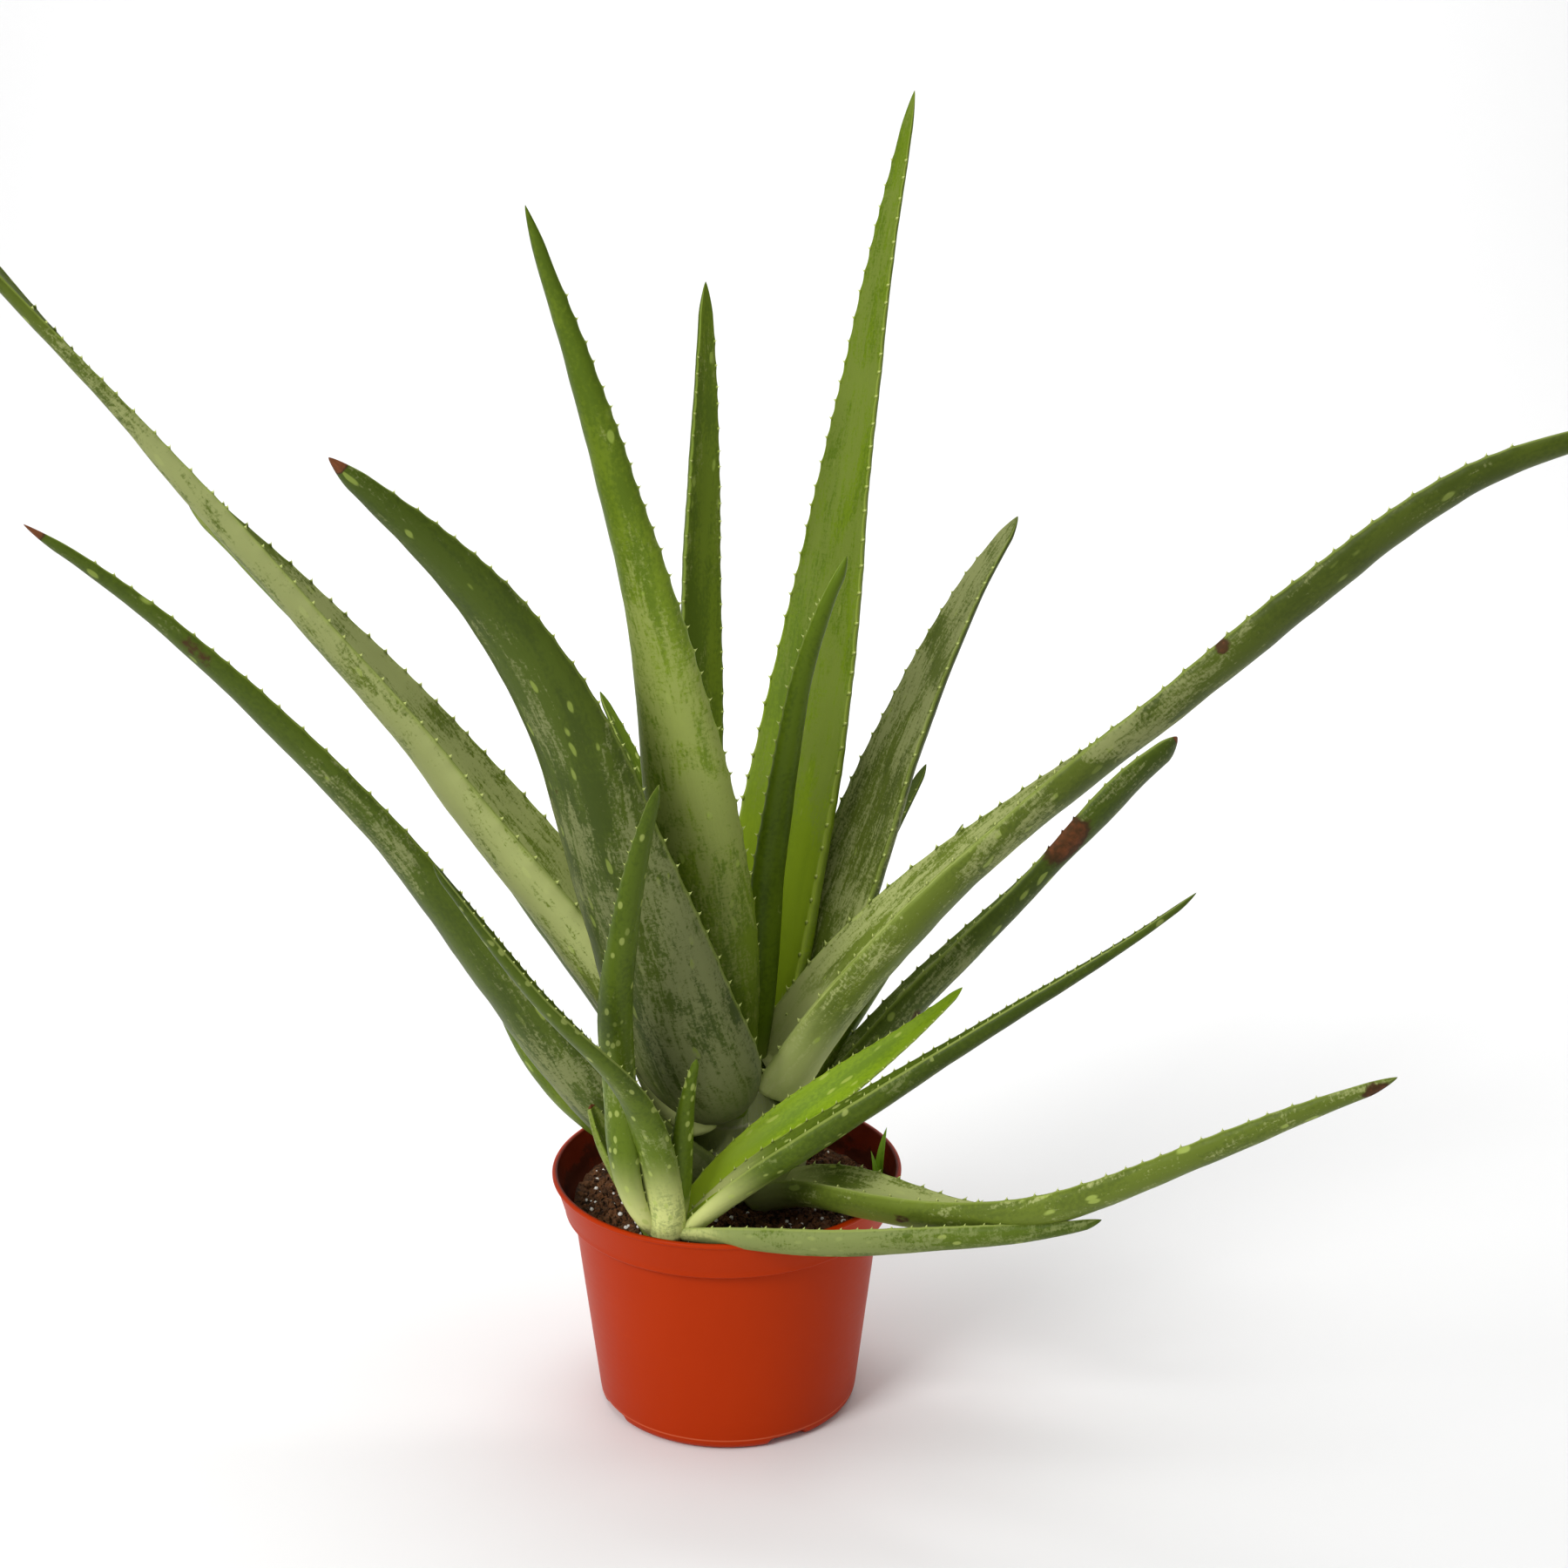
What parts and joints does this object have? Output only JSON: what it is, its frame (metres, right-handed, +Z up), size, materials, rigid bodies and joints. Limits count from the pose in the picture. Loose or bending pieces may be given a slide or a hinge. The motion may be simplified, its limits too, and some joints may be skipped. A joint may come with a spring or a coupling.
{
  "type": "potted aloe plant",
  "caption": "Aloe vera with long, thick, toothed leaves in a spreading rosette and a small offset plant, growing in a round plastic nursery pot.",
  "frame": {"origin": "centre of the pot's flat underside, on the surface that the pot stands on", "axes": "+Z up along the pot's axis, +X to the plant's right as seen from the front, +Y towards its back, the small offset plant at the front left"},
  "size_m": [0.6139, 0.256, 0.557],
  "materials": {
    "leaf_green": "satin",
    "leaf_grey": "satin",
    "leaf_dark": "satin",
    "leaf_bright": "satin",
    "leaf_spotted": "satin",
    "stem": "matte",
    "grass": "satin",
    "soil": "matte",
    "pot_plastic": "satin"
  },
  "bodies": {
    "root": {"young": "leaf_dark", "front_tall": "leaf_green", "tall_right": "leaf_bright", "back_upright": "leaf_green", "inner_left_small": "leaf_spotted", "right_wide": "leaf_grey", "back_right_small": "leaf_dark", "far_right": "leaf_grey", "far_left": "leaf_grey", "front_left": "leaf_dark", "under_far_left": "leaf_green", "right_inner": "leaf_green", "right_scarred": "leaf_dark", "low_left": "leaf_dark", "behind_low_left": "leaf_green", "low_right": "leaf_grey", "pup_small": "leaf_spotted", "pup_upright": "leaf_spotted", "pup_right_upper": "leaf_bright", "pup_right_long": "leaf_spotted", "pup_left": "leaf_spotted", "pup_far_left": "leaf_green", "pup_low": "leaf_spotted", "main_stem": "stem", "pup_stem": "stem", "grass_blade_long": "grass", "grass_blade_short": "grass", "soil": "soil", "pot": "pot_plastic"}
  },
  "joints": []
}
